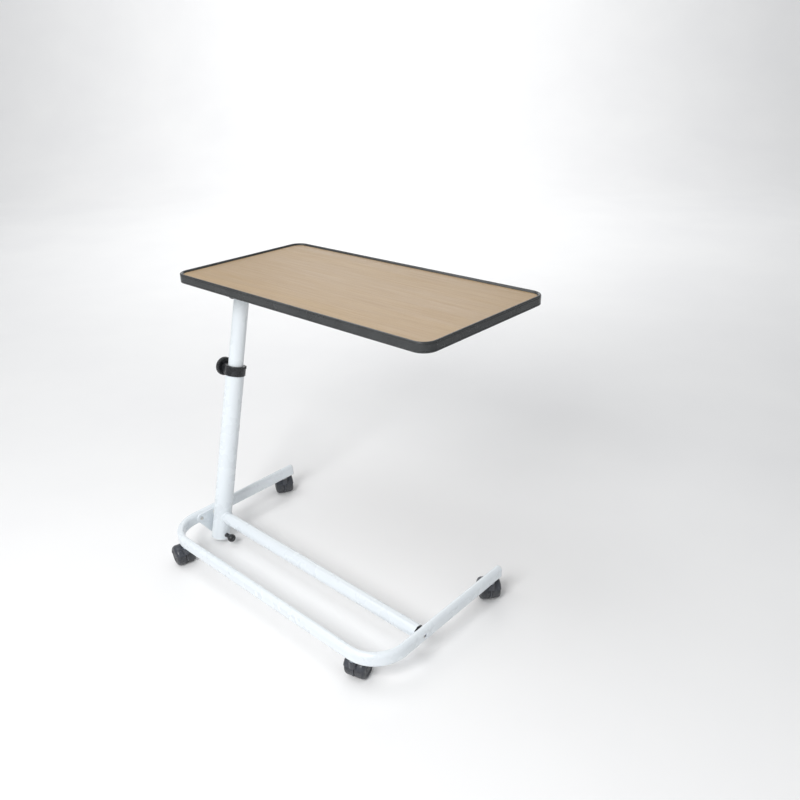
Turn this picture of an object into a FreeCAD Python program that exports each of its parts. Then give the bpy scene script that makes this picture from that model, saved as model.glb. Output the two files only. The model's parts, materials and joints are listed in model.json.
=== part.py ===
import FreeCAD, Part
import math
import os
from FreeCAD import Vector

# Overbed table on castors.  Millimetres, +Z up, +X along the table top's long edge,
# +Y from the front tube of the base towards the chair.  The origin is on the floor under
# the middle of the whole table.

# Driving dimensions
TOP_LENGTH = 800.0
TOP_DEPTH = 400.0
TOP_HEIGHT = 705.0           # floor to the top of the raised rim, at rest
TOP_CORNER_RADIUS = 32.0
TOP_OVERHANG = 70.0          # the top's left edge beyond the left leg's axis
LEG_SPACING = 740.0          # between the two leg axes
LEG_LENGTH = 410.0           # front tube's axis to the open end of a leg
BASE_TUBE_HEIGHT = 72.0      # floor to the axis of the base tubes
BASE_TUBE_WIDTH = 17.0       # flat-sided oval base tube, standing on edge
BASE_TUBE_DEPTH = 33.0
BEND_RADIUS = 78.0
CROSS_TUBE_RADIUS = 15.5
OUTER_TUBE_RADIUS = 23.5
INNER_TUBE_RADIUS = 19.0
TUBE_WALL = 1.5
COLUMN_LEAN = 14.0           # degrees that the column leans back towards the chair
COLUMN_FROM_LEG = 43.0       # column axis to left leg axis
PIVOT_FROM_FRONT = 136.0     # cross tube's axis behind the front tube's axis
TOP_CENTRE_FROM_FRONT = 370.0

# Fits and gaps
RUNNING = 0.05               # radial clearance of a pin that turns in its hole
SLIDING = 0.10               # radial clearance of the telescopic guides
SEAT = 0.03                  # gap of two pieces fixed to each other
MOVING_GAP = 0.4             # between faces that pass each other

# Lengths along the column, measured up from the cross tube's axis
FOOT_DROP = 60.0
LOCK_DROP = 48.0
OUTER_TUBE_TOP = 408.0
CLAMP_HEIGHT = 397.5
COLLAR_HEIGHT = 25.0
COLLAR_WALL = 2.6
COLLAR_LIP = 2.5
COLLAR_TAB_TURN = 38.0       # degrees from +X round the column
GUIDE_LENGTH = 38.0
HINGE_HEIGHT = 590.0         # tilt hinge of the top, at rest
TUBE_HEAD = 12.0             # inner tube above the tilt hinge
INNER_TUBE_BOTTOM = 168.0
GLIDE_LENGTH = 30.0
END_FLANGE = 3.0
PLUG_FLANGE = 2.0            # black plug at the cross tube's end
LEG_INSERT = 14.0

# Screws, pins and knobs
PIN_RADIUS = 4.0             # pivot screws, clamp stud and tilt bolt
LOCK_PIN_RADIUS = 3.0
PIVOT_SLEEVE_RADIUS = 8.0
SCREW_HOLE_RADIUS = 2.3
TILT_SLEEVE_RADIUS = 7.0
SCREW_HEAD_RADIUS = 5.5
PIVOT_HEAD_RECESS = 0.4      # pivot screw heads below the legs' outer faces
CLAMP_KNOB_RADIUS = 24.0
TILT_KNOB_RADIUS = 17.5
LOCK_KNOB_NECK = 12.5
HAND_KNOB_THICKNESS = 15.0
FLUTE_COUNT = 20
LOCK_NUT_RADIUS = 4.5
PAD_RADIUS = 5.5
CLAMP_BOSS_HALF_WIDTH = 12.0
CLAMP_BOSS_REACH = 37.0      # column axis to the boss's outer end
CLAMP_NUT_RADIUS = 6.5

# Side plate that the column's foot locks against
PLATE_THICKNESS = 4.0
PLATE_MARGIN = 12.5
PLATE_NUT_THICKNESS = 5.0
PLATE_SCREW_FORWARD = 44.0   # front screw ahead of the pivot

# Table top build-up
RIM_HEIGHT = 22.0
RIM_WALL = 3.0
RIM_LIP_REACH = 8.0
BACKING = 0.6
CORE = 16.0
LAMINATE = 0.8
RAIL_DEPTH = 20.0
RAIL_HEIGHT = 10.0
RAIL_LENGTH = 520.0
RAIL_WALL = 1.5
FRONT_RAIL_Y = -60.0         # rail positions and plate edges, from the tilt hinge
REAR_RAIL_Y = 150.0
RAIL_LEFT_X = -75.0
RAIL_SCREWS_X = (90.0, 250.0, 425.0)
BRACKET_SCREW_X = 46.0
BRACKET_WALL = 3.0
BRACKET_HALF_WIDTH = 60.0
CHEEK_GAP = 45.0             # clear width between the two cheeks
CHEEK_RADIUS = 14.0

# Castors
WHEEL_RADIUS = 25.0
WHEEL_WIDTH = 21.8
WHEEL_SHOULDER = 8.0         # rounding of a wheel's outer edge
WEB_WIDTH = 4.4
HOOD_RADIUS = 27.4
HOOD_WALL = 1.8
HOOD_FRONT_EDGE = 20.0       # the hood's lower edges, degrees up round the axle from straight ahead
HOOD_REAR_EDGE = 180.0
HOOD_EDGE_RADIUS = 17.5      # the hood's side opening, round the wheel's outer face
CASTOR_WIDTH = WEB_WIDTH + 2 * (WHEEL_WIDTH + HOOD_WALL)
CASTOR_TRAIL = 22.0          # wheel axle behind the swivel axis
CASTOR_INSET = 71.0          # front castors inboard of the leg axes
REAR_CASTOR_Y = 383.0        # rear castors behind the front tube's axis
CASTOR_HEADINGS = {"front_left": -103.0, "front_right": -165.0, "rear_right": -130.0, "rear_left": -120.0}
AXLE_RADIUS = 3.0
STEM_RADIUS = 4.0
STEM_LOW = 43.0              # bottom of the swivel pin
BOSS_RADIUS = 8.5
HOOD_BOSS_LOW = 38.0


def castor_reach(name, x, y):
    """How far a castor's hood stands out from its swivel axis in the horizontal direction (x, y), at rest."""
    turn = math.radians(CASTOR_HEADINGS[name])
    across = x * math.cos(turn) + y * math.sin(turn)
    rolling = y * math.cos(turn) - x * math.sin(turn)
    edge_angle = HOOD_FRONT_EDGE if rolling > 0 else HOOD_REAR_EDGE
    radial = abs(rolling * math.cos(math.radians(edge_angle)))
    rounding = WHEEL_SHOULDER + HOOD_WALL
    flat = (CASTOR_WIDTH / 2 - rounding) * abs(across) + (HOOD_RADIUS - rounding) * radial
    return flat + rounding * math.hypot(across, radial) - CASTOR_TRAIL * rolling


# Positions that follow from the above
BASE_HALF_WIDTH = BASE_TUBE_WIDTH / 2
BASE_TUBE_BOTTOM = BASE_TUBE_HEIGHT - BASE_TUBE_DEPTH / 2
TOTAL_LENGTH = TOP_OVERHANG + LEG_SPACING + castor_reach("rear_right", 1, 0)
BEND_SAG = BEND_RADIUS - math.sqrt(BEND_RADIUS ** 2 - (BEND_RADIUS - CASTOR_INSET) ** 2)
CASTOR_FRONT = castor_reach("front_left", 0, -1) - BEND_SAG
TOTAL_DEPTH = TOP_CENTRE_FROM_FRONT + TOP_DEPTH / 2 + CASTOR_FRONT
LEFT_LEG_X = TOP_OVERHANG - TOTAL_LENGTH / 2
RIGHT_LEG_X = LEFT_LEG_X + LEG_SPACING
FRONT_TUBE_Y = CASTOR_FRONT - TOTAL_DEPTH / 2
COLUMN_X = LEFT_LEG_X + COLUMN_FROM_LEG
PIVOT = Vector(COLUMN_X, FRONT_TUBE_Y + PIVOT_FROM_FRONT, BASE_TUBE_HEIGHT)
LEAN = math.radians(COLUMN_LEAN)
COLUMN_DIRECTION = Vector(0, math.sin(LEAN), math.cos(LEAN))
HINGE = PIVOT + COLUMN_DIRECTION * HINGE_HEIGHT
TOP_CENTRE_X = -TOTAL_LENGTH / 2 + TOP_LENGTH / 2
TOP_CENTRE_Y = FRONT_TUBE_Y + TOP_CENTRE_FROM_FRONT
UNDERSIDE_Z = TOP_HEIGHT - RIM_HEIGHT
RAIL_Z = UNDERSIDE_Z - RAIL_HEIGHT
BRACKET_Z = RAIL_Z - BRACKET_WALL
LEG_TO_COLUMN_SIDE = COLUMN_FROM_LEG - OUTER_TUBE_RADIUS
RIGHT_LEG_FROM_COLUMN = LEG_SPACING - COLUMN_FROM_LEG
CROSS_TUBE_END = RIGHT_LEG_FROM_COLUMN - BASE_HALF_WIDTH - MOVING_GAP - PLUG_FLANGE
SIDES = {"left": LEFT_LEG_X, "right": RIGHT_LEG_X}

ALONG_X = Vector(1, 0, 0)
ALONG_Y = Vector(0, 1, 0)
ALONG_Z = Vector(0, 0, 1)
NODES = {}


def rod(radius, start, end, axis=ALONG_Z, centre=Vector(0, 0, 0)):
    """Solid cylinder from start to end along an axis through centre."""
    return Part.makeCylinder(radius, end - start, centre + axis * start, axis)


def pipe(radius, bore, start, end, axis=ALONG_Z, centre=Vector(0, 0, 0)):
    """Hollow cylinder from start to end along an axis through centre."""
    return rod(radius, start, end, axis, centre).cut(rod(bore, start - 1, end + 1, axis, centre))


def block(low, high):
    """Box between two opposite corners."""
    size = high - low
    return Part.makeBox(size.x, size.y, size.z, low)


def turned(profile, axis=ALONG_Z, centre=Vector(0, 0, 0)):
    """Solid of revolution of (radius, height) points about an axis through centre."""
    wire = Part.makePolygon([Vector(r, 0, h) for r, h in profile + profile[:1]])
    solid = Part.Face(wire).revolve(Vector(0, 0, 0), ALONG_Z, 360)
    solid.Placement = FreeCAD.Placement(centre, FreeCAD.Rotation(ALONG_Z, axis))
    return solid


def rounded_rectangle(length, depth, radius, z):
    """Closed wire of a rounded rectangle about the origin, starting at the middle of its front edge."""
    x, y = length / 2, depth / 2
    diagonal = radius * math.sqrt(0.5)
    start = Vector(0, -y, z)
    edges = []
    for side_x, side_y in ((1, -1), (1, 1), (-1, 1), (-1, -1)):
        centre = Vector(side_x * (x - radius), side_y * (y - radius), z)
        ends = [centre + Vector(0, side_y * radius, 0), centre + Vector(side_x * radius, 0, 0)]
        if side_x * side_y > 0:
            ends.reverse()
        middle = centre + Vector(side_x * diagonal, side_y * diagonal, 0)
        edges.append(Part.makeLine(start, ends[0]))
        edges.append(Part.Arc(ends[0], middle, ends[1]).toShape())
        start = ends[1]
    edges.append(Part.makeLine(start, Vector(0, -y, z)))
    return Part.Wire(edges)


def panel(inset, z_low, thickness):
    """Flat board with rounded corners, inset from the top's outline."""
    wire = rounded_rectangle(TOP_LENGTH - 2 * inset, TOP_DEPTH - 2 * inset, TOP_CORNER_RADIUS - inset, z_low)
    return Part.Face(wire).extrude(Vector(0, 0, thickness))


def oval(width, height, centre, across):
    """Upright flat-sided oval face: half circles at its top and bottom, across the given direction."""
    radius = width / 2
    side = across * radius
    straight = Vector(0, 0, height / 2 - radius)
    crown = Vector(0, 0, height / 2)
    top_left, top_right = centre - side + straight, centre + side + straight
    low_left, low_right = centre - side - straight, centre + side - straight
    return Part.Face(Part.Wire([
        Part.Arc(top_left, centre + crown, top_right).toShape(),
        Part.makeLine(top_right, low_right),
        Part.Arc(low_right, centre - crown, low_left).toShape(),
        Part.makeLine(low_left, top_left),
    ]))


def base_tube_section(centre, across):
    """Cross-section of the base tube's wall."""
    bore = oval(BASE_TUBE_WIDTH - 2 * TUBE_WALL, BASE_TUBE_DEPTH - 2 * TUBE_WALL, centre, across)
    return oval(BASE_TUBE_WIDTH, BASE_TUBE_DEPTH, centre, across).cut(bore)


def soften(solid, radius, wanted):
    """Fillet the circular edges that wanted picks out."""
    edges = [edge for edge in solid.Edges if wanted(edge)]
    return solid.makeFillet(radius, edges) if edges else solid


def on_column(solid):
    """Move a piece from the upright column frame, pivot at its origin, to the leaning column."""
    solid = solid.copy()
    solid.rotate(Vector(0, 0, 0), ALONG_X, -COLUMN_LEAN)
    solid.translate(PIVOT)
    return solid


# Base ---------------------------------------------------------------------------------

def bent_tube():
    """U-shaped base tube: two legs, two bends and the front."""
    left, right, front = LEFT_LEG_X, RIGHT_LEG_X, FRONT_TUBE_Y
    z, bend = BASE_TUBE_HEIGHT, BEND_RADIUS
    straight_leg = LEG_LENGTH - bend
    front_length = LEG_SPACING - 2 * bend
    left_end = base_tube_section(Vector(left, front + bend, z), ALONG_X)
    right_end = base_tube_section(Vector(right, front + bend, z), ALONG_X)
    front_left = base_tube_section(Vector(left + bend, front, z), ALONG_Y)
    front_right = base_tube_section(Vector(right - bend, front, z), ALONG_Y)
    pieces = [
        left_end.extrude(ALONG_Y * straight_leg),
        left_end.revolve(Vector(left + bend, front + bend, z), ALONG_Z, 90),
        front_left.extrude(ALONG_X * front_length),
        front_right.revolve(Vector(right - bend, front + bend, z), ALONG_Z, 90),
        right_end.extrude(ALONG_Y * straight_leg),
    ]
    return pieces[0].fuse(pieces[1:]).removeSplitter()


# Swivel axis of each castor
CASTORS = {
    "front_left": (LEFT_LEG_X + CASTOR_INSET, FRONT_TUBE_Y + BEND_SAG),
    "front_right": (RIGHT_LEG_X - CASTOR_INSET, FRONT_TUBE_Y + BEND_SAG),
    "rear_right": (RIGHT_LEG_X, FRONT_TUBE_Y + REAR_CASTOR_Y),
    "rear_left": (LEFT_LEG_X, FRONT_TUBE_Y + REAR_CASTOR_Y),
}


def base_frame():
    """U-shaped base tube with the holes for its castors, pivot screws and plate screw."""
    frame = bent_tube()
    for x, y in CASTORS.values():
        foot = Vector(x, y, BASE_TUBE_HEIGHT)
        frame = frame.cut(rod(STEM_RADIUS + SEAT, -BASE_TUBE_DEPTH, 0, ALONG_Z, foot))
    for inward, x in ((1, LEFT_LEG_X), (-1, RIGHT_LEG_X)):
        centre = Vector(x, PIVOT.y, BASE_TUBE_HEIGHT)
        toward = ALONG_X * inward
        frame = frame.cut(rod(PIN_RADIUS + SEAT, 0, BASE_TUBE_WIDTH, toward, centre))
        frame = frame.cut(rod(SCREW_HEAD_RADIUS + SEAT, -BASE_TUBE_WIDTH, 0, toward, centre))
    plate_screw = Vector(LEFT_LEG_X, PIVOT.y - PLATE_SCREW_FORWARD, BASE_TUBE_HEIGHT)
    return frame.cut(rod(LOCK_PIN_RADIUS + SEAT, -BASE_TUBE_WIDTH, BASE_TUBE_WIDTH, ALONG_X, plate_screw))


def tube_plug(tube_radius, flange, insert):
    """Moulded plug: a rounded flange over the tube's end and a hollow insert inside it, along -Z."""
    bore = tube_radius - TUBE_WALL - SEAT
    edge = 1.0
    return turned([(0, flange), (tube_radius - edge, flange), (tube_radius - 0.3, flange - 0.3),
                   (tube_radius, flange - edge), (tube_radius, 0), (bore, 0), (bore, 1 - insert),
                   (bore - 1, -insert), (bore - 2, -insert), (bore - 2, -1), (0, -1)])


def leg_end_cap(x):
    """Moulded cap over a leg's open end, with a hollow insert inside the tube."""
    end = Vector(x, FRONT_TUBE_Y + LEG_LENGTH, BASE_TUBE_HEIGHT)
    gap = 2 * (TUBE_WALL + SEAT)
    wall = 2.0
    insert_width = BASE_TUBE_WIDTH - gap
    insert_height = BASE_TUBE_DEPTH - gap
    flange = oval(BASE_TUBE_WIDTH, BASE_TUBE_DEPTH, end, ALONG_X).extrude(ALONG_Y * END_FLANGE)
    flange = soften(flange, 1.2, lambda edge: edge.CenterOfMass.y > end.y + END_FLANGE - 0.01)
    insert = oval(insert_width, insert_height, end, ALONG_X)
    insert = insert.cut(oval(insert_width - 2 * wall, insert_height - 2 * wall, end, ALONG_X))
    return flange.fuse(insert.extrude(ALONG_Y * -LEG_INSERT)).removeSplitter()


def lock_point():
    """Centre of the lock screw in the pivot's plane, as offsets from the pivot."""
    return -LOCK_DROP * math.sin(LEAN), -LOCK_DROP * math.cos(LEAN)


def side_plate():
    """Rounded triangular plate on the inner side of the left leg, under the column's foot."""
    x = LEFT_LEG_X + BASE_HALF_WIDTH
    lock_y, lock_z = lock_point()
    corners = [Vector(x, PIVOT.y - PLATE_SCREW_FORWARD, PIVOT.z),
               Vector(x, PIVOT.y, PIVOT.z),
               Vector(x, PIVOT.y + lock_y, PIVOT.z + lock_z)]
    outline = Part.Face(Part.makePolygon(corners + corners[:1])).makeOffset2D(PLATE_MARGIN)
    plate = outline.extrude(ALONG_X * PLATE_THICKNESS)
    plate = soften(plate, 0.8, lambda edge: abs(edge.CenterOfMass.x - x - PLATE_THICKNESS) < 0.01)
    plate = plate.cut(rod(PIN_RADIUS + SEAT, -1, PLATE_THICKNESS + 1, ALONG_X, corners[1]))
    return plate.cut(countersunk_screw(SEAT))


def plate_screw_face():
    """Centre of the plate screw's head, flush with the plate."""
    return Vector(LEFT_LEG_X + BASE_HALF_WIDTH + PLATE_THICKNESS, PIVOT.y - PLATE_SCREW_FORWARD, PIVOT.z)


def countersunk_screw(grow=0.0):
    """Screw that holds the plate's front corner; its head sits flush in the plate."""
    shank = LOCK_PIN_RADIUS + grow
    head = SCREW_HEAD_RADIUS + grow
    length = BASE_TUBE_WIDTH + PLATE_THICKNESS + PLATE_NUT_THICKNESS + 2
    profile = [(0, 0), (head, 0), (head, -0.4), (shank, 1 - PLATE_THICKNESS), (shank, -length), (0, -length)]
    return turned(profile, ALONG_X, plate_screw_face())


def side_plate_screw():
    return countersunk_screw().cut(hexagon(2.0, 2.0, -ALONG_X, plate_screw_face()))


def hexagon(half_flats, depth, axis, start):
    """Hexagonal prism with its flats half_flats from the axis."""
    corner = half_flats / math.cos(math.radians(30))
    points = []
    for step in range(7):
        angle = math.radians(60 * step)
        points.append(Vector(corner * math.cos(angle), corner * math.sin(angle), 0))
    prism = Part.Face(Part.makePolygon(points)).extrude(Vector(0, 0, depth))
    prism.Placement = FreeCAD.Placement(start, FreeCAD.Rotation(ALONG_Z, axis))
    return prism


def side_plate_nut():
    """Hexagon nut on the outer side of the left leg."""
    start = Vector(LEFT_LEG_X - BASE_HALF_WIDTH, PIVOT.y - PLATE_SCREW_FORWARD, PIVOT.z)
    thick = PLATE_NUT_THICKNESS
    nut = hexagon(5.0, thick, -ALONG_X, start)
    chamfer = [(0, 0), (6.3, 0), (6.3, thick - 0.6), (5.2, thick), (0, thick)]
    nut = nut.common(turned(chamfer, -ALONG_X, start))
    return nut.cut(rod(LOCK_PIN_RADIUS + SEAT, -1, thick + 1, -ALONG_X, start))


def pivot_screw(inward, leg_x, reach):
    """Screw that the column turns on: its long barrel head stands inside the leg, behind an open hole."""
    seat = BASE_HALF_WIDTH - TUBE_WALL - SEAT
    face = PIVOT_HEAD_RECESS - BASE_HALF_WIDTH
    axis = ALONG_X * inward
    centre = Vector(leg_x, PIVOT.y, PIVOT.z)
    head = SCREW_HEAD_RADIUS
    profile = [(0, face), (head - 0.5, face), (head, face + 0.5), (head, seat), (PIN_RADIUS, seat),
               (PIN_RADIUS, reach - 1), (PIN_RADIUS - 1, reach), (0, reach)]
    socket = hexagon(2.5, 3.0, axis, centre + axis * face)
    return turned(profile, axis, centre).cut(socket)


def pivot_spacer():
    """Spacer between the side plate and the column's pivot sleeve."""
    start = BASE_HALF_WIDTH + PLATE_THICKNESS
    centre = Vector(LEFT_LEG_X, PIVOT.y, PIVOT.z)
    end = LEG_TO_COLUMN_SIDE - MOVING_GAP
    return pipe(PIVOT_SLEEVE_RADIUS, PIN_RADIUS + SEAT, start, end, ALONG_X, centre)


def castor_stem(x, y):
    """Steel swivel stem: a collar under the tube, a grip shank in it and a pin down into the castor."""
    low = STEM_LOW
    pin = STEM_RADIUS - 1
    collar = STEM_RADIUS + 3
    underside = BASE_TUBE_BOTTOM - 0.05
    shank_top = BASE_TUBE_BOTTOM + 22
    return turned([(0, low), (pin - 0.5, low), (pin, low + 0.5), (pin, underside - 0.75),
                   (collar, underside - 0.75), (collar, underside), (STEM_RADIUS, underside),
                   (STEM_RADIUS, shank_top - 1), (STEM_RADIUS - 1, shank_top), (0, shank_top)],
                  ALONG_Z, Vector(x, y, 0))


# Castors ------------------------------------------------------------------------------

def at_radius(radius, reach, axle):
    """Test for a castor's circular edges of a radius, at a distance either side of its middle."""
    def wanted(edge):
        if not hasattr(edge.Curve, "Radius"):
            return False
        off_middle = abs(edge.Curve.Center.x - axle.x)
        return abs(edge.Curve.Radius - radius) < 0.01 and abs(off_middle - reach) < 0.01
    return wanted


def castor_hood():
    """Hood of a twin-wheel castor: rounded shell over the wheels, web between them and swivel boss."""
    half = CASTOR_WIDTH / 2
    axle = Vector(0, -CASTOR_TRAIL, WHEEL_RADIUS)
    shell = rod(HOOD_RADIUS, -half, half, ALONG_X, axle)
    shell = soften(shell, WHEEL_SHOULDER + HOOD_WALL, at_radius(HOOD_RADIUS, half, axle))
    hollow = rod(HOOD_RADIUS - HOOD_WALL, -half + HOOD_WALL / 2, half - HOOD_WALL / 2, ALONG_X, axle)
    hollow = soften(hollow, WHEEL_SHOULDER, at_radius(HOOD_RADIUS - HOOD_WALL, half - HOOD_WALL / 2, axle))
    shell = shell.cut(hollow)
    shell = shell.cut(rod(HOOD_EDGE_RADIUS, -half - 1, half + 1, ALONG_X, axle))
    shell = shell.cut(below_hood(axle))
    web = rod(HOOD_RADIUS - 1, -WEB_WIDTH / 2, WEB_WIDTH / 2, ALONG_X, axle)
    web = web.cut(block(Vector(-half, -80, -10), Vector(half, 40, 14)))
    boss_top = BASE_TUBE_BOTTOM - 1.0
    boss = rod(BOSS_RADIUS, HOOD_BOSS_LOW, boss_top, ALONG_Z)
    boss = boss.cut(rod(HOOD_RADIUS - HOOD_WALL, -half, half, ALONG_X, axle))
    hood = shell.fuse([web, boss]).removeSplitter()
    hood = hood.cut(rod(STEM_RADIUS - 1 + RUNNING, STEM_LOW - 1, boss_top + 1, ALONG_Z))
    return hood.cut(rod(AXLE_RADIUS + SEAT, -half, half, ALONG_X, axle))


def below_hood(axle):
    """Wedge below the hood's two lower edges, open where the wheels show."""
    reach = 60.0
    points = [Vector(-reach, axle.y, axle.z)]
    for angle in (HOOD_FRONT_EDGE, -60.0, -120.0, HOOD_REAR_EDGE - 360.0):
        turn = math.radians(angle)
        points.append(Vector(-reach, axle.y + reach * math.cos(turn), axle.z + reach * math.sin(turn)))
    return Part.Face(Part.makePolygon(points + points[:1])).extrude(Vector(2 * reach, 0, 0))


def castor_wheel(side):
    """Castor wheel: round-shouldered tread, dished outer face, hollow inner side and a blind axle bore."""
    inner = WEB_WIDTH / 2 + MOVING_GAP
    outer = inner + WHEEL_WIDTH
    tread = WHEEL_RADIUS
    bore = AXLE_RADIUS + RUNNING
    axle = Vector(0, -CASTOR_TRAIL, WHEEL_RADIUS)
    profile = [(bore, inner), (7, inner), (7, inner + 9), (tread - 5, inner + 9), (tread - 5, inner),
               (tread, inner), (tread, outer), (15.5, outer), (14, outer - 1.4), (9, outer - 1.4),
               (7.5, outer - 0.3), (4, outer), (0, outer), (0, outer - 3), (bore, outer - 3)]
    wheel = turned(profile, ALONG_X * side, axle)
    wheel = soften(wheel, WHEEL_SHOULDER, at_radius(tread, outer, axle))
    return soften(wheel, 1.2, at_radius(tread, inner, axle))


def castor_axle():
    half = WEB_WIDTH / 2 + WHEEL_WIDTH - 3.0
    return turned([(0, -half), (AXLE_RADIUS - 0.5, -half), (AXLE_RADIUS, -half + 0.5),
                   (AXLE_RADIUS, half - 0.5), (AXLE_RADIUS - 0.5, half), (0, half)],
                  ALONG_X, Vector(0, -CASTOR_TRAIL, WHEEL_RADIUS))


def add_castor(name, x, y):
    """Add one castor's pieces, turned to its rest heading about its swivel axis."""
    pieces = {
        "hood": castor_hood(),
        "axle": castor_axle(),
        "wheel_left": castor_wheel(-1),
        "wheel_right": castor_wheel(1),
    }
    for piece, solid in pieces.items():
        solid.rotate(Vector(0, 0, 0), ALONG_Z, CASTOR_HEADINGS[name])
        solid.translate(Vector(x, y, 0))
        NODES["castor_" + name + "_" + piece] = solid
    NODES["castor_" + name + "_stem"] = castor_stem(x, y)


# Column and cross tube, upright with the pivot at the origin --------------------------------

def outer_tube():
    """Lower, fixed tube of the column, with the holes for its sleeve, lock screw and clamp pad."""
    radius = OUTER_TUBE_RADIUS
    tube = pipe(radius, radius - TUBE_WALL, -FOOT_DROP, OUTER_TUBE_TOP)
    tube = tube.cut(rod(PIVOT_SLEEVE_RADIUS + SEAT, -radius - 1, radius + 1, ALONG_X))
    lock = Vector(0, 0, -LOCK_DROP)
    tube = tube.cut(rod(LOCK_NUT_RADIUS + SEAT, 0, radius + 1, ALONG_X, lock))
    tube = tube.cut(rod(LOCK_PIN_RADIUS + MOVING_GAP, -radius - 1, 0, ALONG_X, lock))
    clamp = Vector(0, 0, CLAMP_HEIGHT)
    return tube.cut(rod(PAD_RADIUS + SEAT, -radius - 1, 0, ALONG_X, clamp))


def outer_tube_solid():
    return rod(OUTER_TUBE_RADIUS, -FOOT_DROP, OUTER_TUBE_TOP)


def cross_tube():
    """Tube from the column across to the right leg, cut to a saddle round the column."""
    tube = pipe(CROSS_TUBE_RADIUS, CROSS_TUBE_RADIUS - TUBE_WALL, 0, CROSS_TUBE_END, ALONG_X)
    return tube.cut(outer_tube_solid())


def cross_tube_weld():
    """Weld bead that runs round the saddle between the cross tube and the column."""
    leg = 3.0
    around_tube = CROSS_TUBE_RADIUS + leg
    around_column = OUTER_TUBE_RADIUS + leg
    band = rod(around_tube, 0, around_column + 1, ALONG_X)
    band = band.common(pipe(around_column, OUTER_TUBE_RADIUS, -around_column, around_column))
    band = band.cut(rod(CROSS_TUBE_RADIUS, 0, around_column + 1, ALONG_X))

    def is_outer_corner(edge):
        point = edge.valueAt((edge.FirstParameter + edge.LastParameter) / 2)
        off_tube = abs(math.hypot(point.y, point.z) - around_tube)
        off_column = abs(math.hypot(point.x, point.y) - around_column)
        return off_tube < 0.01 and off_column < 0.01

    return soften(band, leg * 0.8, is_outer_corner)


def cross_tube_plug():
    """Black plug in the cross tube's right end; the right pivot screw turns in its bore."""
    bore = CROSS_TUBE_RADIUS - TUBE_WALL - SEAT
    hole = PIN_RADIUS + RUNNING
    flange = CROSS_TUBE_RADIUS
    insert = 25.0
    return turned([(hole, PLUG_FLANGE), (flange - 0.8, PLUG_FLANGE), (flange, PLUG_FLANGE - 0.8), (flange, 0),
                   (bore, 0), (bore, 1 - insert), (bore - 1, -insert), (hole, -insert)],
                  ALONG_X, Vector(CROSS_TUBE_END, 0, 0))


def pivot_sleeve():
    """Steel sleeve welded across the column; the left pivot screw turns in its bore."""
    start = -OUTER_TUBE_RADIUS
    end = OUTER_TUBE_RADIUS + 1
    return pipe(PIVOT_SLEEVE_RADIUS, PIN_RADIUS + RUNNING, start, end, ALONG_X)


def column_foot_cap():
    cap = tube_plug(OUTER_TUBE_RADIUS, 2.5, 5.0)
    cap.rotate(Vector(0, 0, 0), ALONG_X, 180)
    cap.translate(Vector(0, 0, -FOOT_DROP))
    return cap


def lock_nut():
    """Threaded insert in the right wall of the column's foot."""
    centre = Vector(0, 0, -LOCK_DROP)
    face = OUTER_TUBE_RADIUS + 1.2
    flange = rod(6.5, OUTER_TUBE_RADIUS - 3, face, ALONG_X, centre).cut(outer_tube_solid())
    body = rod(LOCK_NUT_RADIUS, OUTER_TUBE_RADIUS - 12, face, ALONG_X, centre)
    bore = rod(LOCK_PIN_RADIUS + RUNNING, 0, face + 1, ALONG_X, centre)
    return body.fuse(flange).removeSplitter().cut(bore)


def collar_lug(outside, low, high):
    """Lug that runs tangentially off the collar's ring and narrows towards the clamp knob."""
    end = Vector(-CLAMP_BOSS_REACH, CLAMP_BOSS_HALF_WIDTH, 0)
    tangent = math.atan2(end.y, end.x) - math.acos(outside / end.Length)
    side = Vector(outside * math.cos(tangent), outside * math.sin(tangent), 0)
    corners = [Vector(0, side.y, 0), side, end, Vector(end.x, -end.y, 0), Vector(side.x, -side.y, 0),
               Vector(0, -side.y, 0)]
    lug = Part.Face(Part.makePolygon(corners + corners[:1])).extrude(Vector(0, 0, high - low))

    def is_end_corner(edge):
        middle = edge.CenterOfMass
        return abs(middle.x - end.x) < 0.01 and abs(abs(middle.y) - end.y) < 0.01

    lug = soften(lug, 2.5, is_end_corner)
    lug.translate(Vector(0, 0, low))
    return lug


def clamp_collar():
    """Moulded collar over the outer tube's top, with a lug for the clamp screw and a small raised tab."""
    top = OUTER_TUBE_TOP + COLLAR_LIP
    bottom = top - COLLAR_HEIGHT
    outside = OUTER_TUBE_RADIUS + COLLAR_WALL
    lip = INNER_TUBE_RADIUS + MOVING_GAP
    bore = OUTER_TUBE_RADIUS + SEAT
    ring = turned([(bore, bottom), (outside - 0.6, bottom), (outside, bottom + 0.6), (outside, top - 1.2),
                   (outside - 0.4, top - 0.4), (outside - 1.2, top), (lip + 0.6, top), (lip, top - 0.6),
                   (lip, OUTER_TUBE_TOP), (bore, OUTER_TUBE_TOP)])
    lug = collar_lug(outside, bottom + 0.6, top - 1.2).cut(rod(bore, bottom - 1, top + 1))
    tab = block(Vector(outside - 2.0, -3.0, top - 6.0), Vector(outside + 1.2, 3.0, top + 1.6))
    tab.rotate(Vector(0, 0, 0), ALONG_Z, COLLAR_TAB_TURN)
    collar = ring.fuse([lug, tab]).removeSplitter()
    clamp = Vector(0, 0, CLAMP_HEIGHT)
    return collar.cut(rod(CLAMP_NUT_RADIUS + SEAT, 0, CLAMP_BOSS_REACH + 1, -ALONG_X, clamp))


def clamp_nut():
    """Threaded metal insert in the collar's boss."""
    clamp = Vector(0, 0, CLAMP_HEIGHT)
    start = OUTER_TUBE_RADIUS + 0.6
    return pipe(CLAMP_NUT_RADIUS, PIN_RADIUS + RUNNING, start, CLAMP_BOSS_REACH - 0.3, -ALONG_X, clamp)


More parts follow.
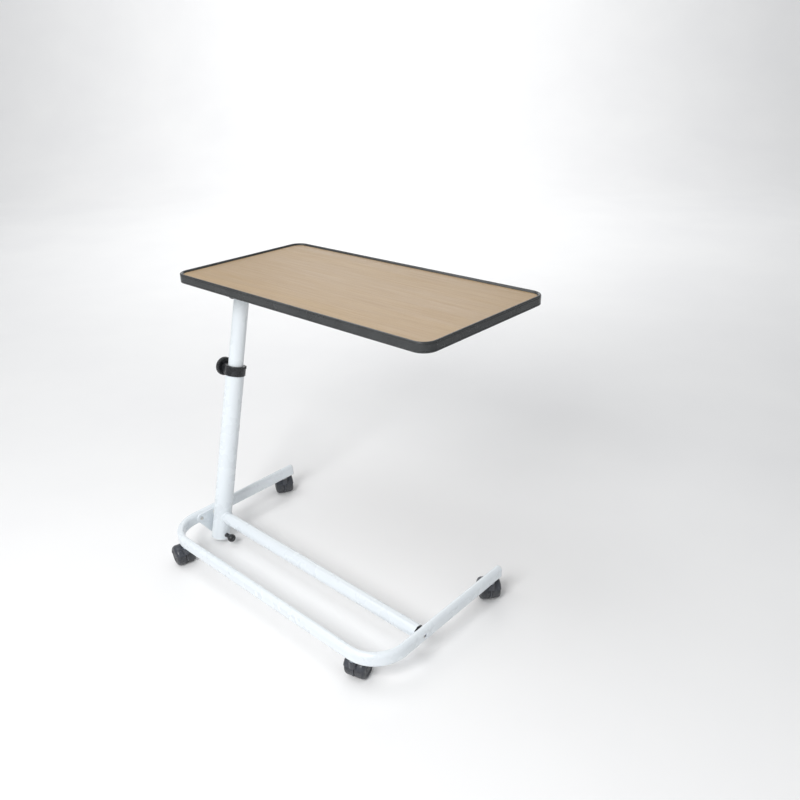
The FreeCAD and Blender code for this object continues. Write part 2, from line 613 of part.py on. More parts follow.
def clamp_pad():
    """Pressure pad that the clamp screw pushes against the inner tube."""
    clamp = Vector(0, 0, CLAMP_HEIGHT)
    pad = rod(PAD_RADIUS, 0, OUTER_TUBE_RADIUS - 0.6, -ALONG_X, clamp)
    return pad.cut(rod(INNER_TUBE_RADIUS + MOVING_GAP / 2, 0, OUTER_TUBE_TOP))


def guide_bush():
    """Plastic liner at the top of the outer tube that the inner tube slides in."""
    outside = OUTER_TUBE_RADIUS - TUBE_WALL - SEAT
    bore = INNER_TUBE_RADIUS + SLIDING
    low = OUTER_TUBE_TOP - GUIDE_LENGTH
    bush = turned([(bore + 0.8, low), (outside - 0.8, low), (outside, low + 0.8), (outside, OUTER_TUBE_TOP),
                   (bore, OUTER_TUBE_TOP), (bore, low + 0.8)])
    return bush.cut(rod(PAD_RADIUS + SEAT, 0, OUTER_TUBE_RADIUS, -ALONG_X, Vector(0, 0, CLAMP_HEIGHT)))


def hand_knob(radius, start):
    """Round hand knob turned about its screw: hub, dished face and shallow flutes round the rim."""
    thick = HAND_KNOB_THICKNESS
    back = start + thick
    body = turned([(0, start), (10, start), (11, start + 2), (radius - 3, start + 2.5),
                   (radius - 0.8, start + 3.6), (radius, start + 6), (radius, back - 5),
                   (radius - 1.2, back - 2), (radius - 4, back - 0.3), (radius - 8, back),
                   (8, back - 1.2), (0, back - 1.5)])
    for step in range(FLUTE_COUNT):
        angle = 2 * math.pi * step / FLUTE_COUNT
        reach = radius + 1.1
        middle = Vector(reach * math.cos(angle), reach * math.sin(angle), 0)
        body = body.cut(rod(2.2, start, back + 1, ALONG_Z, middle))
    return body


def knob_on_screw(centre, start, screw_start, screw_reach):
    """Clamp knob and its stud along -X from a centre; the stud ends inside the knob."""
    knob = hand_knob(CLAMP_KNOB_RADIUS, start)
    knob.Placement = FreeCAD.Placement(centre, FreeCAD.Rotation(ALONG_Z, -ALONG_X))
    knob = knob.cut(rod(PIN_RADIUS + SEAT, screw_start, screw_reach, -ALONG_X, centre))
    stud = turned([(0, screw_start), (PIN_RADIUS - 1, screw_start), (PIN_RADIUS, screw_start + 1),
                   (PIN_RADIUS, screw_reach), (0, screw_reach)], -ALONG_X, centre)
    return knob, stud


def lock_knob():
    """Small ball-ended knob with a neck, on the right side of the column's foot."""
    start = OUTER_TUBE_RADIUS + 1.2 + MOVING_GAP
    ball = start + LOCK_KNOB_NECK
    profile = [(0, start), (5.6, start), (5.6, ball), (7.5, ball + 1.5), (9.6, ball + 4), (10.4, ball + 7.5),
               (10.0, ball + 11.5), (8.2, ball + 15), (5.0, ball + 17.1), (0, ball + 17.8)]
    centre = Vector(0, 0, -LOCK_DROP)
    knob = turned(profile, ALONG_X, centre)
    flutes = 10
    flute_reach = 12.4
    for step in range(flutes):
        angle = 2 * math.pi * step / flutes
        offset = Vector(0, flute_reach * math.cos(angle), flute_reach * math.sin(angle))
        knob = knob.cut(rod(2.6, ball - 1.5, ball + 20, ALONG_X, centre + offset))
    return knob.cut(rod(LOCK_PIN_RADIUS + SEAT, 0, ball + 9.5, ALONG_X, centre))


def lock_stud():
    """Threaded stud of the lock knob; its point bears on the side plate."""
    plate_face = BASE_HALF_WIDTH + PLATE_THICKNESS - COLUMN_FROM_LEG
    point = plate_face + 0.3
    end = OUTER_TUBE_RADIUS + LOCK_KNOB_NECK + 10.5
    return turned([(0, point), (1.6, point), (LOCK_PIN_RADIUS, point + 2), (LOCK_PIN_RADIUS, end), (0, end)],
                  ALONG_X, Vector(0, 0, -LOCK_DROP))


def inner_tube():
    """Upper, telescopic tube that carries the top."""
    top = HINGE_HEIGHT + TUBE_HEAD
    tube = pipe(INNER_TUBE_RADIUS, INNER_TUBE_RADIUS - TUBE_WALL, INNER_TUBE_BOTTOM, top)
    hinge = Vector(0, 0, HINGE_HEIGHT)
    reach = INNER_TUBE_RADIUS + 1
    return tube.cut(rod(TILT_SLEEVE_RADIUS + SEAT, -reach, reach, ALONG_X, hinge))


def inner_tube_glide():
    """Plastic glide on the inner tube's lower end, which slides in the outer tube."""
    outside = OUTER_TUBE_RADIUS - TUBE_WALL - SLIDING
    bore = INNER_TUBE_RADIUS + SEAT
    low = INNER_TUBE_BOTTOM - END_FLANGE
    high = INNER_TUBE_BOTTOM + GLIDE_LENGTH
    return turned([(INNER_TUBE_RADIUS - TUBE_WALL, low), (outside - 1, low), (outside, low + 1),
                   (outside, high - 1), (outside - 1, high), (bore, high), (bore, INNER_TUBE_BOTTOM),
                   (INNER_TUBE_RADIUS - TUBE_WALL, INNER_TUBE_BOTTOM)])


def inner_tube_cap():
    """Shallow plug in the inner tube's head."""
    cap = tube_plug(INNER_TUBE_RADIUS, 2.0, 3.0)
    cap.translate(Vector(0, 0, HINGE_HEIGHT + TUBE_HEAD))
    return cap


def tilt_sleeve():
    """Steel sleeve across the inner tube's head that the tilt bolt passes through."""
    half = CHEEK_GAP / 2 - MOVING_GAP
    return pipe(TILT_SLEEVE_RADIUS, PIN_RADIUS + RUNNING, -half, half, ALONG_X, Vector(0, 0, HINGE_HEIGHT))


# Table top, about the tilt hinge --------------------------------------------------------

def tilt_bracket():
    """Steel plate under the rails with two cheeks that straddle the inner tube's head."""
    plate_low = BRACKET_Z - HINGE.z
    plate = block(Vector(-BRACKET_HALF_WIDTH, FRONT_RAIL_Y - 15, plate_low),
                  Vector(BRACKET_HALF_WIDTH, REAR_RAIL_Y + 15, plate_low + BRACKET_WALL))
    plate = soften(plate, 8.0, lambda edge: edge.Length < BRACKET_WALL + 0.1)
    pieces = []
    for side in (-1, 1):
        inner_face = CHEEK_GAP / 2
        x = inner_face if side > 0 else -inner_face - BRACKET_WALL
        foot = 34.0
        tangent = math.radians(20)
        side_y = CHEEK_RADIUS * math.cos(tangent)
        side_z = CHEEK_RADIUS * math.sin(tangent)
        front, rear = Vector(x, -side_y, side_z), Vector(x, side_y, side_z)
        front_foot, rear_foot = Vector(x, -foot, plate_low + 1), Vector(x, foot, plate_low + 1)
        outline = Part.Wire([
            Part.Arc(front, Vector(x, 0, -CHEEK_RADIUS), rear).toShape(),
            Part.makeLine(rear, rear_foot),
            Part.makeLine(rear_foot, front_foot),
            Part.makeLine(front_foot, front),
        ])
        pieces.append(Part.Face(outline).extrude(ALONG_X * BRACKET_WALL))
    bracket = plate.fuse(pieces).removeSplitter()
    for side in (-1, 1):
        for y in (FRONT_RAIL_Y, REAR_RAIL_Y):
            hole = Vector(side * BRACKET_SCREW_X, y, 0)
            bracket = bracket.cut(rod(SCREW_HOLE_RADIUS, plate_low - 1, plate_low + 5, ALONG_Z, hole))
    reach = CHEEK_GAP / 2 + BRACKET_WALL + 1
    return at_hinge(bracket.cut(rod(PIN_RADIUS + SEAT, -reach, reach, ALONG_X)))


def at_hinge(solid):
    solid = solid.copy()
    solid.translate(HINGE)
    return solid


def screw_places():
    """Screws through the rails into the board, as (x, y, height of the head's seat) from the tilt hinge."""
    places = []
    for y in (FRONT_RAIL_Y, REAR_RAIL_Y):
        places += [(side * BRACKET_SCREW_X, y, BRACKET_Z - HINGE.z) for side in (-1, 1)]
        places += [(x, y, RAIL_Z - HINGE.z) for x in RAIL_SCREWS_X]
    return places


def support_rail(y):
    """Steel box rail under the board, along X."""
    low = RAIL_Z - HINGE.z
    high = low + RAIL_HEIGHT
    half = RAIL_DEPTH / 2
    start, end = RAIL_LEFT_X, RAIL_LEFT_X + RAIL_LENGTH
    rail = block(Vector(start, y - half, low), Vector(end, y + half, high))
    rail = soften(rail, 1.5, lambda edge: edge.Length > RAIL_LENGTH - 1)
    rail = rail.cut(block(Vector(start - 1, y - half + RAIL_WALL, low + RAIL_WALL),
                          Vector(end + 1, y + half - RAIL_WALL, high - RAIL_WALL)))
    for screw_x, screw_y, _ in screw_places():
        if screw_y == y:
            rail = rail.cut(rod(SCREW_HOLE_RADIUS, low - 1, high + 1, ALONG_Z, Vector(screw_x, y, 0)))
    return at_hinge(rail)


def top_screw(x, y, seat, grow=0.0):
    """Pan-head wood screw: head against its seat, shank up through the rail into the board."""
    point = UNDERSIDE_Z - HINGE.z + 12
    shank = 2.0 + grow
    profile = [(0, seat - 2.4), (2.5, seat - 2.4), (3.8, seat - 1.6), (4.2, seat), (shank, seat),
               (shank, point - 3), (0, point)]
    return turned(profile, ALONG_Z, Vector(x, y, 0))


def top_screws():
    """All the screws that hold the board to its rails and bracket, with crossed slots."""
    slot = 0.4
    screws = []
    for x, y, seat in screw_places():
        low, high = seat - 3, seat - 1.6
        along = block(Vector(x - 2.2, y - slot, low), Vector(x + 2.2, y + slot, high))
        across = block(Vector(x - slot, y - 2.2, low), Vector(x + slot, y + 2.2, high))
        screws.append(top_screw(x, y, seat).cut(along.fuse(across)))
    return at_hinge(Part.makeCompound(screws))


def on_top(solid):
    """Move a piece of the top from its own frame, underside at zero, into place."""
    solid = solid.copy()
    solid.translate(Vector(TOP_CENTRE_X, TOP_CENTRE_Y, UNDERSIDE_Z))
    return solid


def drilled(board):
    """Take the rail screws' pilot holes out of a board."""
    for x, y, seat in screw_places():
        board = board.cut(at_hinge(top_screw(x, y, seat, SEAT)))
    return board


def edge_trim():
    """Moulded edging round the board, with a raised rounded lip and fine grooves on its outer face."""
    front = -TOP_DEPTH / 2
    seat = BACKING + CORE
    height = RIM_HEIGHT
    groove = 0.5
    section = [(RIM_WALL, 0), (0.8, 0), (0, 0.8)]
    for z in (4.0, height - 4.6):
        section += [(0, z - groove), (groove, z), (0, z + groove)]
    section += [(0, height - 2.4), (0.5, height - 1.0), (1.7, height - 0.2), (3.4, height)]
    section += [(4.9, height - 0.5), (6.4, height - 1.8), (RIM_LIP_REACH, seat + LAMINATE + 0.6)]
    section += [(RIM_LIP_REACH, seat), (RIM_WALL, seat)]
    profile = Part.makePolygon([Vector(0, front + inward, z) for inward, z in section + section[:1]])
    path = rounded_rectangle(TOP_LENGTH, TOP_DEPTH, TOP_CORNER_RADIUS, 0)
    return path.makePipeShell([profile], True, True)


def tilt_bolt():
    """Domed coach bolt through the cheeks; the tilt knob screws on to its left end."""
    half = CHEEK_GAP / 2 + BRACKET_WALL
    end = half + 15.0
    bolt = turned([(0, -half - 5), (3.5, -half - 4.6), (6.5, -half - 3.3), (8.5, -half - 1.2), (9, -half),
                   (PIN_RADIUS, -half), (PIN_RADIUS, end - 1), (PIN_RADIUS - 1, end), (0, end)], -ALONG_X)
    return at_hinge(bolt)


def tilt_knob():
    """Hand knob on the tilt bolt's left end."""
    start = CHEEK_GAP / 2 + BRACKET_WALL + MOVING_GAP
    knob = hand_knob(TILT_KNOB_RADIUS, start)
    knob.Placement = FreeCAD.Placement(Vector(0, 0, 0), FreeCAD.Rotation(ALONG_Z, -ALONG_X))
    knob = knob.cut(rod(PIN_RADIUS + RUNNING, 0, CHEEK_GAP / 2 + BRACKET_WALL + 15.6, -ALONG_X))
    return at_hinge(knob)


def build():
    NODES["base_frame"] = base_frame()
    for side, x in SIDES.items():
        NODES["leg_end_cap_" + side] = leg_end_cap(x)
    NODES["side_plate"] = side_plate()
    NODES["side_plate_screw"] = side_plate_screw()
    NODES["side_plate_nut"] = side_plate_nut()
    NODES["pivot_screw_left"] = pivot_screw(1, LEFT_LEG_X, COLUMN_FROM_LEG + 10)
    NODES["pivot_screw_right"] = pivot_screw(-1, RIGHT_LEG_X, BASE_HALF_WIDTH + 24)
    NODES["pivot_spacer"] = pivot_spacer()
    for name, (x, y) in CASTORS.items():
        add_castor(name, x, y)

    clamp_centre = Vector(0, 0, CLAMP_HEIGHT)
    clamp_knob, clamp_stud = knob_on_screw(clamp_centre, CLAMP_BOSS_REACH + MOVING_GAP,
                                           OUTER_TUBE_RADIUS - 0.2, CLAMP_BOSS_REACH + 10)
    column_pieces = {
        "outer_tube": outer_tube(),
        "cross_tube": cross_tube(),
        "cross_tube_weld": cross_tube_weld(),
        "cross_tube_plug": cross_tube_plug(),
        "pivot_sleeve": pivot_sleeve(),
        "column_foot_cap": column_foot_cap(),
        "lock_nut": lock_nut(),
        "clamp_collar": clamp_collar(),
        "clamp_nut": clamp_nut(),
        "clamp_pad": clamp_pad(),
        "guide_bush": guide_bush(),
        "clamp_knob": clamp_knob,
        "clamp_stud": clamp_stud,
        "lock_knob": lock_knob(),
        "lock_stud": lock_stud(),
        "inner_tube": inner_tube(),
        "inner_tube_glide": inner_tube_glide(),
        "inner_tube_cap": inner_tube_cap(),
        "tilt_sleeve": tilt_sleeve(),
    }
    for name, solid in column_pieces.items():
        NODES[name] = on_column(solid)

    NODES["tilt_bracket"] = tilt_bracket()
    NODES["support_rail_front"] = support_rail(FRONT_RAIL_Y)
    NODES["support_rail_rear"] = support_rail(REAR_RAIL_Y)
    NODES["top_screws"] = top_screws()
    NODES["top_backing"] = drilled(on_top(panel(RIM_WALL, 0, BACKING)))
    NODES["top_core"] = drilled(on_top(panel(RIM_WALL, BACKING, CORE)))
    NODES["top_laminate"] = on_top(panel(RIM_LIP_REACH + SEAT, BACKING + CORE, LAMINATE))
    NODES["edge_trim"] = on_top(edge_trim())
    NODES["tilt_bolt"] = tilt_bolt()
    NODES["tilt_knob"] = tilt_knob()


build()
os.makedirs("parts", exist_ok=True)
for node, shape in NODES.items():
    shape.exportStep("parts/" + node + ".step")
    print(node, "is", "valid" if shape.isValid() else "not valid")
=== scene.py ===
import json
import math

import bpy
from mathutils import Matrix, Vector


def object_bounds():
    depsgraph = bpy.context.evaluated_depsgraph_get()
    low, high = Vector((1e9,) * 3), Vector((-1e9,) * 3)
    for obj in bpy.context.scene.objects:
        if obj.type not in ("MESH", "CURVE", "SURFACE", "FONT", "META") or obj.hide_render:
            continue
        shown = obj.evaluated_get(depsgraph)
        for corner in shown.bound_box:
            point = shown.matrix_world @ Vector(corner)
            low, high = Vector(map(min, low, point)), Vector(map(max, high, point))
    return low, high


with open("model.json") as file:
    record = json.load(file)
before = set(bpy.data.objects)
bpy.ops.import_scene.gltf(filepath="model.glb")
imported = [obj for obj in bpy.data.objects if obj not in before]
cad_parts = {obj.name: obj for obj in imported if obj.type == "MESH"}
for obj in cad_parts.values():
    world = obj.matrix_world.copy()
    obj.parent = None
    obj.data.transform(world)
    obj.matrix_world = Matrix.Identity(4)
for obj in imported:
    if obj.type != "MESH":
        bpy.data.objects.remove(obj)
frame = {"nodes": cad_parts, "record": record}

cad_low, cad_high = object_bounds()

# The camera stands at the front right, looking down at the table, rolled slightly.
CAMERA_AZIMUTH = 42.61
CAMERA_ELEVATION = 24.82
CAMERA_ROLL = -1.53
CAMERA_DISTANCE = 1.90
CAMERA_LENS = 33.94
AIM_FROM_CENTRE = (0.0351, 0.2073, 0.030)    # aim point from the middle of the table's box

MILLIMETRE = 0.001

# A noise's values lie mostly between these two.
NOISE_LOW = 0.3
NOISE_HIGH = 0.7

# Studio floor, in metres.
FLOOR_HALF_WIDTH = 9.0
BACKDROP_HEIGHT = 9.0
BEND_START = 5.0            # where the floor begins to curve up, behind the origin
BEND_RADIUS = 2.5
BEND_STEPS = 16
BACKDROP_LIT_HEIGHT = 1.2   # height on the backdrop that its light is aimed at
WORLD_COLOUR = (0.97, 0.985, 1.0, 1.0)
WORLD_STRENGTH = 0.47


# Node building ------------------------------------------------------------------------

class Shader:
    """A node material: its principled shader, and short calls for the nodes that feed it."""

    def __init__(self, name, metallic=0.0, specular=0.5):
        self.material = bpy.data.materials.new(name)
        self.material.use_nodes = True
        self.tree = self.material.node_tree
        self.surface = self.tree.nodes["Principled BSDF"]
        self.set("Metallic", metallic)
        self.set("Specular IOR Level", specular)
        self.place = self.tree.nodes.new("ShaderNodeTexCoord").outputs["Object"]

    def set(self, socket, value):
        self.surface.inputs[socket].default_value = value

    def link(self, output, socket):
        self.tree.links.new(output, socket)

    def stretched(self, x, y, z):
        """Object coordinates in features per metre along each axis."""
        mapping = self.tree.nodes.new("ShaderNodeMapping")
        mapping.inputs["Scale"].default_value = (x, y, z)
        self.link(self.place, mapping.inputs["Vector"])
        return mapping.outputs["Vector"]

    def noise(self, place, detail=3.0, roughness=0.55, distortion=0.0):
        node = self.tree.nodes.new("ShaderNodeTexNoise")
        node.inputs["Scale"].default_value = 1.0
        node.inputs["Detail"].default_value = detail
        node.inputs["Roughness"].default_value = roughness
        node.inputs["Distortion"].default_value = distortion
        self.link(place, node.inputs["Vector"])
        return node.outputs["Fac"]

    def even_noise(self, per_metre, detail=3.0, roughness=0.55):
        """Noise with the same number of features per metre in every direction."""
        return self.noise(self.stretched(per_metre, per_metre, per_metre), detail, roughness)

    def ramp(self, value, low, high, low_out=0.0, high_out=1.0):
        """Value remapped and clamped from low..high to low_out..high_out."""
        node = self.tree.nodes.new("ShaderNodeMapRange")
        node.inputs["From Min"].default_value = low
        node.inputs["From Max"].default_value = high
        node.inputs["To Min"].default_value = low_out
        node.inputs["To Max"].default_value = high_out
        self.link(value, node.inputs["Value"])
        return node.outputs["Result"]

    def spread(self, noise, low_out=0.0, high_out=1.0):
        """A noise stretched over low_out..high_out."""
        return self.ramp(noise, NOISE_LOW, NOISE_HIGH, low_out, high_out)

    def product(self, first, second):
        """First times second, which is an output or a number."""
        node = self.tree.nodes.new("ShaderNodeMath")
        node.operation = "MULTIPLY"
        self.link(first, node.inputs[0])
        if isinstance(second, float):
            node.inputs[1].default_value = second
        else:
            self.link(second, node.inputs[1])
        return node.outputs["Value"]

    def total(self, first, second):
        node = self.tree.nodes.new("ShaderNodeMath")
        node.operation = "ADD"
        self.link(first, node.inputs[0])
        self.link(second, node.inputs[1])
        return node.outputs["Value"]

    def height_above_floor(self):
        split = self.tree.nodes.new("ShaderNodeSeparateXYZ")
        self.link(self.place, split.inputs["Vector"])
        return split.outputs["Z"]

    def mix(self, factor, first, second):
        """Colour mix; first and second are colours or colour outputs."""
        node = self.tree.nodes.new("ShaderNodeMix")
        node.data_type = "RGBA"
        self.link(factor, node.inputs["Factor"])
        first_socket, second_socket = [socket for socket in node.inputs if socket.type == "RGBA"]
        for socket, value in ((first_socket, first), (second_socket, second)):
            if isinstance(value, tuple):
                socket.default_value = (*value, 1.0)
            else:
                self.link(value, socket)
        return next(socket for socket in node.outputs if socket.type == "RGBA")

    def colour(self, output):
        self.link(output, self.surface.inputs["Base Color"])

    def roughness(self, output):
        self.link(output, self.surface.inputs["Roughness"])

    def bump(self, height, depth, strength=1.0, after=None):
        """Bump of a depth in metres, chained after another bump's normal."""
        node = self.tree.nodes.new("ShaderNodeBump")
        node.inputs["Strength"].default_value = strength
        node.inputs["Distance"].default_value = depth
        self.link(height, node.inputs["Height"])
        if after is not None:
            self.link(after, node.inputs["Normal"])
        self.link(node.outputs["Normal"], self.surface.inputs["Normal"])
        return node.outputs["Normal"]


# Materials ----------------------------------------------------------------------------

def white_powder_coat():
    """Glossy white powder on steel: fine orange peel, faint mottling, a little dust near the floor."""
    shader = Shader("white_powder_coat")
    mottle = shader.spread(shader.even_noise(6.0, 2.0))
    body = shader.mix(mottle, (0.740, 0.792, 0.832), (0.755, 0.803, 0.840))
    near_floor = shader.ramp(shader.height_above_floor(), 0.045, 0.075, 1.0, 0.0)
    dust = shader.product(shader.ramp(shader.even_noise(24.0, 2.0), 0.45, 0.8), near_floor)
    shader.colour(shader.mix(shader.product(dust, 0.1), body, (0.60, 0.59, 0.57)))
    shader.roughness(shader.spread(shader.even_noise(30.0, 2.0), 0.26, 0.30))
    shader.bump(shader.even_noise(700.0, 1.0), 0.01 * MILLIMETRE, 0.3)
    shader.set("Coat Weight", 0.4)
    shader.set("Coat Roughness", 0.1)
    return shader.material


def white_plastic():
    """Moulded white caps: slightly warmer than the tubes, with a fine spark-eroded texture."""
    shader = Shader("white_plastic")
    tone = shader.spread(shader.even_noise(70.0, 4.0))
    shader.colour(shader.mix(tone, (0.69, 0.71, 0.72), (0.77, 0.79, 0.80)))
    shader.roughness(shader.spread(shader.even_noise(120.0), 0.36, 0.5))
    shader.bump(shader.even_noise(1600.0, 1.0), 0.03 * MILLIMETRE, 0.5)
    return shader.material


def black_plastic():
    """Glass-filled black nylon of the collar and knobs: fine grain, greyed where hands rub it."""
    shader = Shader("black_plastic")
    worn = shader.ramp(shader.even_noise(55.0, 5.0, 0.65), 0.45, 0.75)
    shader.colour(shader.mix(worn, (0.012, 0.013, 0.015), (0.030, 0.032, 0.036)))
    shader.roughness(shader.spread(shader.even_noise(90.0, 4.0), 0.22, 0.36))
    grain = shader.bump(shader.even_noise(1500.0, 2.0), 0.04 * MILLIMETRE, 0.45)
    shader.bump(shader.even_noise(240.0, 2.0), 0.04 * MILLIMETRE, 0.25, grain)
    return shader.material


def zinc_steel():
    """Bright zinc plating with a faint blue and yellow passivation and fine turning lines."""
    shader = Shader("zinc_steel", metallic=1.0)
    tint = shader.ramp(shader.even_noise(85.0, 3.0), 0.35, 0.65)
    shader.colour(shader.mix(tint, (0.56, 0.60, 0.67), (0.68, 0.66, 0.60)))
    shader.roughness(shader.spread(shader.even_noise(300.0, 4.0), 0.2, 0.42))
    shader.bump(shader.noise(shader.stretched(2600.0, 160.0, 160.0)), 0.03 * MILLIMETRE, 0.5)
    return shader.material


def brass_insert():
    """Turned brass, slightly tarnished in patches."""
    shader = Shader("brass_insert", metallic=1.0)
    shader.colour(shader.mix(shader.even_noise(140.0, 4.0), (0.60, 0.42, 0.18), (0.82, 0.62, 0.32)))
    shader.roughness(shader.spread(shader.even_noise(260.0), 0.24, 0.45))
    shader.bump(shader.noise(shader.stretched(2200.0, 140.0, 140.0)), 0.03 * MILLIMETRE, 0.5)
    return shader.material


def natural_nylon():
    """Uncoloured nylon of the guides, spacer and pad: milky and a little translucent."""
    shader = Shader("natural_nylon")
    shader.colour(shader.mix(shader.even_noise(60.0, 4.0), (0.70, 0.67, 0.58), (0.83, 0.82, 0.76)))
    shader.roughness(shader.spread(shader.even_noise(150.0), 0.36, 0.55))
    shader.bump(shader.even_noise(900.0, 1.0), 0.03 * MILLIMETRE, 0.4)
    shader.set("Subsurface Weight", 0.15)
    shader.set("Subsurface Scale", 0.002)
    return shader.material


def black_steel():
    """Satin black powder coat of the bracket and rails under the top."""
    shader = Shader("black_steel")
    shader.colour(shader.mix(shader.even_noise(30.0, 5.0), (0.016, 0.016, 0.018), (0.036, 0.036, 0.039)))
    shader.roughness(shader.spread(shader.even_noise(70.0, 4.0), 0.34, 0.52))
    peel = shader.bump(shader.even_noise(600.0, 2.0), 0.07 * MILLIMETRE, 0.7)
    shader.bump(shader.even_noise(90.0, 2.0), 0.08 * MILLIMETRE, 0.3, peel)
    return shader.material


def wood_laminate():
    """Pale beech laminate: soft broad bands and fine lines along the top, with short dark pores."""
    shader = Shader("wood_laminate", specular=0.42)
    bands = shader.noise(shader.stretched(1.3, 15.0, 15.0), 3.0, 0.5, 0.9)
    broad = shader.mix(shader.spread(bands), (0.354, 0.239, 0.126), (0.424, 0.300, 0.168))
    lines = shader.noise(shader.stretched(5.0, 330.0, 330.0), 4.0, 0.65, 0.25)
    lined = shader.mix(shader.ramp(lines, 0.42, 0.66, 0.0, 0.55), broad, (0.310, 0.201, 0.100))
    fine = shader.noise(shader.stretched(14.0, 1500.0, 1500.0), 2.0, 0.6)
    finer = shader.mix(shader.ramp(fine, 0.5, 0.72, 0.0, 0.4), lined, (0.452, 0.331, 0.192))
    pores = shader.noise(shader.stretched(170.0, 2100.0, 2100.0), 1.0, 0.4)
    pored = shader.ramp(pores, 0.66, 0.72, 0.0, 0.55)
    shader.colour(shader.mix(pored, finer, (0.215, 0.127, 0.061)))
    shader.roughness(shader.ramp(shader.total(shader.product(lines, 0.5), shader.product(bands, 0.5)),
                                 0.35, 0.65, 0.36, 0.52))
    grain = shader.bump(shader.ramp(pores, 0.6, 0.74, 1.0, 0.0), 0.05 * MILLIMETRE, 0.5)
    shader.bump(lines, 0.05 * MILLIMETRE, 0.35, grain)
    return shader.material


def particle_board():
    """Pressed wood chips, lying flat."""
    shader = Shader("particle_board")
    chips = shader.noise(shader.stretched(260.0, 420.0, 900.0), 4.0, 0.7)
    shader.colour(shader.mix(shader.ramp(chips, 0.35, 0.65), (0.36, 0.25, 0.15), (0.62, 0.48, 0.32)))
    shader.roughness(shader.spread(chips, 0.7, 0.92))
    shader.bump(chips, 0.3 * MILLIMETRE, 0.7)
    return shader.material


def backing_sheet():
    """Plain brown balancing paper under the board: matt, faintly fibrous, with a few handling marks."""
    shader = Shader("backing_sheet")
    fibres = shader.noise(shader.stretched(120.0, 420.0, 420.0), 5.0, 0.7, 0.4)
    clouds = shader.even_noise(7.0, 4.0)
    base = shader.mix(shader.spread(clouds), (0.355, 0.295, 0.230), (0.440, 0.375, 0.300))
    shader.colour(shader.mix(shader.ramp(fibres, 0.5, 0.72, 0.0, 0.5), base, (0.270, 0.220, 0.170)))
    shader.roughness(shader.spread(fibres, 0.56, 0.76))
    shader.bump(fibres, 0.06 * MILLIMETRE, 0.5)
    return shader.material


def edge_moulding():
    """Charcoal moulded edging: drawn lines along its length, a soft sheen and faint paler scuffs."""
    shader = Shader("edge_moulding", specular=0.55)
    tone = shader.spread(shader.even_noise(22.0, 4.0))
    body = shader.mix(tone, (0.019, 0.021, 0.022), (0.032, 0.035, 0.036))
    marks = shader.noise(shader.stretched(70.0, 70.0, 1100.0), 3.0, 0.6, 0.5)
    scuffed_patches = shader.ramp(shader.even_noise(17.0, 2.0), 0.48, 0.6)
    scuffed = shader.product(shader.ramp(marks, 0.66, 0.74), scuffed_patches)
    shader.colour(shader.mix(shader.product(scuffed, 0.18), body, (0.11, 0.115, 0.12)))
    shader.roughness(shader.spread(shader.even_noise(48.0, 4.0), 0.19, 0.29))
    drawn = shader.bump(shader.noise(shader.stretched(8.0, 8.0, 2600.0), 2.0), 0.04 * MILLIMETRE, 0.45)
    shader.bump(shader.even_noise(900.0, 1.0), 0.03 * MILLIMETRE, 0.35, drawn)
    return shader.material


def castor_plastic(name, dark, pale, rough):
    """Blue-black moulded nylon with floor dust settled towards the bottom."""
    shader = Shader(name)
    body = shader.mix(shader.spread(shader.even_noise(90.0, 4.0)), dark, pale)
    low = shader.ramp(shader.height_above_floor(), 0.0, 0.045, 0.75, 0.12)
    dust = shader.product(shader.ramp(shader.even_noise(210.0, 5.0, 0.7), 0.42, 0.75), low)
    shader.colour(shader.mix(dust, body, (0.17, 0.165, 0.155)))
    shader.roughness(shader.spread(shader.even_noise(130.0, 4.0), *rough))
    grain = shader.bump(shader.even_noise(1300.0, 2.0), 0.04 * MILLIMETRE, 0.5)
    shader.bump(shader.even_noise(160.0, 2.0), 0.05 * MILLIMETRE, 0.3, grain)
    return shader.material


def castor_hood():
    return castor_plastic("castor_hood", (0.030, 0.034, 0.044), (0.050, 0.056, 0.070), (0.26, 0.42))


def castor_wheel():
    return castor_plastic("castor_wheel", (0.024, 0.027, 0.034), (0.040, 0.044, 0.054), (0.34, 0.52))


def floor_material():
    """Pale matt studio floor with the faintest mottling."""
    shader = Shader("studio_floor", specular=0.2)
    shader.set("Roughness", 0.7)
    tone = shader.spread(shader.even_noise(1.5, 3.0))
    shader.colour(shader.mix(tone, (0.87, 0.87, 0.875), (0.90, 0.90, 0.90)))
    return shader.material


FINISHES = {
    "white_powder_coat": white_powder_coat,
    "white_plastic": white_plastic,
    "black_plastic": black_plastic,
    "zinc_steel": zinc_steel,
    "brass_insert": brass_insert,
    "natural_nylon": natural_nylon,
    "black_steel": black_steel,
    "wood_laminate": wood_laminate,
    "particle_board": particle_board,
    "backing_sheet": backing_sheet,
    "edge_moulding": edge_moulding,
    "castor_hood": castor_hood,
    "castor_wheel": castor_wheel,
}


def finish_nodes():
    """Give every node of the frame the finish of its material slot."""
    made = {slot: make() for slot, make in FINISHES.items()}
    for part in frame["record"]["subparts"]:
        node = frame["nodes"][part["node"]]
        node.data.materials.clear()
        node.data.materials.append(made[part["material_slot"]])


# Studio -------------------------------------------------------------------------------

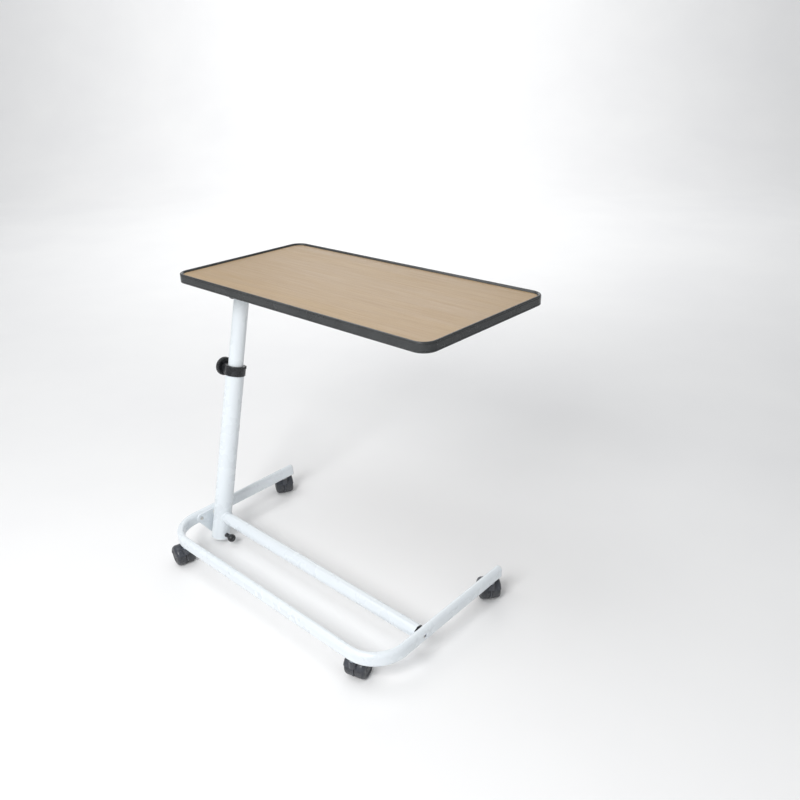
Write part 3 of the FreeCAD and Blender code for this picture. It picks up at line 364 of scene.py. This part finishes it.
def studio_floor():
    """Floor that curves up into a backdrop well behind the table."""
    profile = [(-FLOOR_HALF_WIDTH, 0.0), (BEND_START, 0.0)]
    for step in range(1, BEND_STEPS + 1):
        angle = math.radians(90.0 * step / BEND_STEPS)
        depth = BEND_START + BEND_RADIUS * math.sin(angle)
        height = BEND_RADIUS * (1 - math.cos(angle))
        profile.append((depth, height))
    profile.append((BEND_START + BEND_RADIUS, BACKDROP_HEIGHT))
    vertices = [(x, y, z) for y, z in profile for x in (-FLOOR_HALF_WIDTH, FLOOR_HALF_WIDTH)]
    strips = range(len(profile) - 1)
    faces = [(2 * n, 2 * n + 1, 2 * n + 3, 2 * n + 2) for n in strips]
    mesh = bpy.data.meshes.new("studio_floor")
    mesh.from_pydata(vertices, [], faces)
    mesh.materials.append(floor_material())
    for face in mesh.polygons:
        face.use_smooth = True
    floor = bpy.data.objects.new("studio_floor", mesh)
    floor.rotation_euler.z = math.radians(CAMERA_AZIMUTH)
    bpy.context.collection.objects.link(floor)


def area_light(name, power, size, place, aim):
    """White square light of a power in watts and a side in metres, at one point and aimed at another."""
    data = bpy.data.lights.new(name, "AREA")
    data.energy = power
    data.size = size
    light = bpy.data.objects.new(name, data)
    light.location = place
    light.rotation_euler = (Vector(aim) - Vector(place)).to_track_quat("-Z", "Y").to_euler()
    bpy.context.collection.objects.link(light)


def studio_light(centre):
    """Soft light from the front, weaker light from above and behind, and a lit backdrop."""
    world = bpy.data.worlds.new("studio")
    world.use_nodes = True
    background = world.node_tree.nodes["Background"]
    background.inputs["Color"].default_value = WORLD_COLOUR
    background.inputs["Strength"].default_value = WORLD_STRENGTH
    bpy.context.scene.world = world
    area_light("front_soft", 57.0, 1.2, centre + Vector((0.7, -2.2, 1.8)), centre)
    area_light("top_soft", 22.0, 2.0, centre + Vector((-1.0, -0.6, 2.6)), centre)
    area_light("back_soft", 6.0, 1.6, centre + Vector((-1.8, 2.2, 1.6)), centre)
    turn = Matrix.Rotation(math.radians(CAMERA_AZIMUTH), 3, "Z")
    backdrop = turn @ Vector((0.0, BEND_START + BEND_RADIUS, BACKDROP_LIT_HEIGHT))
    above_midway = backdrop * 0.45 + Vector((0.0, 0.0, 3.6))
    area_light("backdrop_soft", 160.0, 3.0, above_midway, backdrop)


def camera(centre):
    """The scene's camera, aimed near the middle of the table."""
    data = bpy.data.cameras.new("camera")
    data.lens = CAMERA_LENS
    camera_object = bpy.data.objects.new("camera", data)
    turn = Matrix.Rotation(math.radians(CAMERA_AZIMUTH), 4, "Z")
    tip = Matrix.Rotation(math.radians(90.0 - CAMERA_ELEVATION), 4, "X")
    roll = Matrix.Rotation(math.radians(CAMERA_ROLL), 4, "Z")
    facing = turn @ tip @ roll
    aim = centre + Vector(AIM_FROM_CENTRE)
    backward = facing @ Vector((0.0, 0.0, 1.0))
    camera_object.matrix_world = Matrix.Translation(aim + backward * CAMERA_DISTANCE) @ facing
    bpy.context.collection.objects.link(camera_object)
    bpy.context.scene.camera = camera_object


box_centre = (Vector(cad_low) + Vector(cad_high)) / 2
finish_nodes()
studio_floor()
studio_light(box_centre)
camera(box_centre)
bpy.context.scene.view_settings.view_transform = "Standard"
